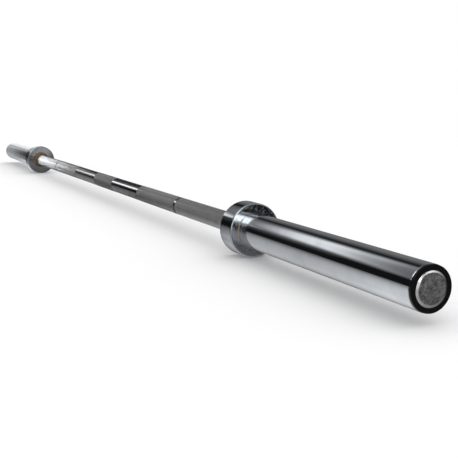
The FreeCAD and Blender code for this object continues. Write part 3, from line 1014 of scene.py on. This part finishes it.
SOFTBOX_EDGE = 0.22

# Spot lamps that rake the far end of the grip, by their turn round the bar in degrees
SPOT_TURNS = range(114, 204, 9)
SPOT_STATION = -1.20
SPOT_RADIUS = 0.45
SPOT_AIM = -0.60
SPOT_SIZE = 0.15
SPOT_CONE = math.radians(27)

# How the names of the pieces that they light start
GRIP_NAMES = ("shaft_core", "knurl_")


def fade(share_across, soft):
    """Fall off to nought over a soft share at both edges of a softbox."""
    rise = min(share_across, 1 - share_across, soft) / soft
    return rise * rise * (3 - 2 * rise)


def along_path(path, share_along):
    """The point at a share of a path, counted in legs."""
    legs = len(path) - 1
    leg = min(int(share_along * legs), legs - 1)
    return Vector(path[leg]).lerp(Vector(path[leg + 1]), share_along * legs - leg)


def softbox_rows(box, gain):
    """The grid of a softbox, as rows of points with their brightness."""
    shares = [step / SOFTBOX_STEPS for step in range(SOFTBOX_STEPS + 1)]
    rows = []
    for across in shares:
        row = []
        for along in shares:
            station, y, z = along_path(box.path, along)
            lit = fade(across, box.soft) * fade(along, SOFTBOX_END_FADE)
            glow = SOFTBOX_EDGE + (box.glow * gain - SOFTBOX_EDGE) * lit
            row.append((station + box.width * (across - 0.5), y, z, glow))
        rows.append(row)
    return rows


class BARBELL_OT_stage(Operator):
    """Set up the floor, the light, the cards that the chrome mirrors, and the camera"""

    bl_idname = "barbell.stage"
    bl_label = "Studio"

    def execute(self, context):
        studio = context.scene.barbell_studio
        context.scene.view_settings.view_transform = "Standard"
        self.add_surround(context.scene, studio)
        self.add_floor(studio)
        self.add_cards(studio)
        self.add_key_light(studio)
        self.add_spots(studio)
        self.add_camera(context.scene, studio)
        return {"FINISHED"}

    def add_surround(self, scene, studio):
        """Light the scene evenly from a white surround."""
        scene.world = bpy.data.worlds.new("surround")
        scene.world.use_nodes = True
        scene.world.node_tree.nodes.clear()
        sheet = NodeSheet(scene.world.node_tree)
        inputs = {"Color": (1.0, 1.0, 1.0, 1.0), "Strength": studio.sky}
        white = sheet.node("ShaderNodeBackground", None, inputs)
        sheet.node("ShaderNodeOutputWorld", None, {"Surface": white})

    def add_floor(self, studio):
        """Lay a wide pale floor under the collars."""
        half = FLOOR_HALF
        level = -COLLAR.radius
        corners = [(-half, -half, level), (half, -half, level), (half, half, level), (-half, half, level)]
        mesh = bpy.data.meshes.new("floor")
        mesh.from_pydata(corners, [], [(0, 1, 2, 3)])
        finish = Finish("floor")
        mesh.materials.append(finish.surface(base_color=studio.floor, roughness=1.0, specular=0.0))
        self.add_prop(mesh).visible_glossy = False

    def add_cards(self, studio):
        """Hang the cards and the softboxes."""
        material = bpy.data.materials.new("studio_card")
        material.use_nodes = True
        material.node_tree.nodes.clear()
        sheet = NodeSheet(material.node_tree)
        shade = sheet.node("ShaderNodeAttribute", {"attribute_name": "glow"}, output="Color")
        light = sheet.node("ShaderNodeEmission", None, {"Color": shade, "Strength": 1.0})
        sheet.node("ShaderNodeOutputMaterial", None, {"Surface": light})
        for card in CARDS:
            rows = []
            for station, gain, lift in card.stations:
                rows.append([(station, y, z, glow * gain + lift) for y, z, glow in card.edge])
            self.add_card(card.name, rows, material)
        for box in SOFTBOXES:
            self.add_card(box.name, softbox_rows(box, studio.softbox), material)

    def add_card(self, name, rows, material):
        """Make one card from rows of points with their brightness."""
        points = [point for row in rows for point in row]
        width = len(rows[0])
        faces = []
        for index in range(len(rows) - 1):
            for column in range(width - 1):
                corner = index * width + column
                faces.append((corner, corner + width, corner + width + 1, corner + 1))
        mesh = bpy.data.meshes.new(name)
        mesh.from_pydata([point[:3] for point in points], [], faces)
        glow = mesh.attributes.new("glow", "FLOAT_COLOR", "POINT")
        for value, point in zip(glow.data, points):
            value.color = (point[3], point[3], point[3], 1.0)
        mesh.materials.append(material)
        card = self.add_prop(mesh)
        card.visible_camera = False
        card.visible_diffuse = False
        card.visible_shadow = False

    def add_prop(self, mesh):
        """Put a piece of the studio in the scene."""
        prop = bpy.data.objects.new(mesh.name, mesh)
        bpy.context.scene.collection.objects.link(prop)
        return prop

    def add_key_light(self, studio):
        """Add a soft key light from the left, for the shadow on the floor."""
        lamp = bpy.data.lights.new("key_light", "SUN")
        lamp.energy = studio.sun
        lamp.angle = KEY_SOFTNESS
        key = bpy.data.objects.new("key_light", lamp)
        key.rotation_euler = KEY_TURN
        key.visible_glossy = False
        bpy.context.scene.collection.objects.link(key)

    def add_spots(self, studio):
        """Rake the far end of the grip with spot lamps, which light the grip only."""
        grip = bpy.data.collections.new("grip")
        for piece in bpy.context.scene.objects:
            if piece.name.startswith(GRIP_NAMES):
                grip.objects.link(piece)
        for turn in SPOT_TURNS:
            lamp = bpy.data.lights.new("far_spot", "SPOT")
            lamp.energy = studio.spots
            lamp.shadow_soft_size = SPOT_SIZE
            lamp.spot_size = SPOT_CONE
            lamp.spot_blend = 1.0
            spot = bpy.data.objects.new("far_spot", lamp)
            angle = math.radians(turn)
            spot.location = (SPOT_STATION, SPOT_RADIUS * math.cos(angle), SPOT_RADIUS * math.sin(angle))
            aim = Vector((SPOT_AIM, 0.0, 0.0)) - spot.location
            spot.rotation_euler = aim.to_track_quat("-Z", "Y").to_euler()
            spot.light_linking.receiver_collection = grip
            spot.light_linking.blocker_collection = grip
            bpy.context.scene.collection.objects.link(spot)

    def add_camera(self, scene, studio):
        """Stand the camera where the photograph was taken from."""
        camera = bpy.data.cameras.new("camera")
        camera.sensor_width = SENSOR_WIDTH
        camera.lens = studio.lens
        camera.clip_start = NEAR_CLIP
        view = bpy.data.objects.new("camera", camera)
        view.location = studio.place
        view.rotation_euler = (math.pi / 2 + studio.tilt, 0.0, studio.bearing)
        scene.collection.objects.link(view)
        scene.camera = view


# Add-on

STEPS = (
    BARBELL_OT_shaft,
    BARBELL_OT_knurl,
    BARBELL_OT_sleeves,
    BARBELL_OT_ends,
    BARBELL_OT_running_gear,
    BARBELL_OT_stage,
)


class BARBELL_PT_build(Panel):
    """Steps that build the barbell"""

    bl_idname = "BARBELL_PT_build"
    bl_label = "Olympic Barbell"
    bl_space_type = "VIEW_3D"
    bl_region_type = "UI"
    bl_category = "Barbell"

    def draw(self, context):
        for step in STEPS:
            self.layout.operator(step.bl_idname)


GROUPS = {
    "barbell_grip": GripSizes,
    "barbell_sleeve": SleeveSizes,
    "barbell_colours": FinishColours,
    "barbell_studio": StudioSettings,
}


def register():
    """Register the properties, operators and panel."""
    for name, group in GROUPS.items():
        bpy.utils.register_class(group)
        setattr(bpy.types.Scene, name, PointerProperty(type=group))
    for step in (*STEPS, BARBELL_PT_build):
        bpy.utils.register_class(step)


def unregister():
    """Take back what register added."""
    for step in reversed((*STEPS, BARBELL_PT_build)):
        bpy.utils.unregister_class(step)
    for name, group in reversed(GROUPS.items()):
        delattr(bpy.types.Scene, name)
        bpy.utils.unregister_class(group)


def main():
    """Build every piece and the studio."""
    register()
    for step in STEPS:
        getattr(bpy.ops.barbell, step.bl_idname.split(".")[1])()


if __name__ == "__main__":
    main()
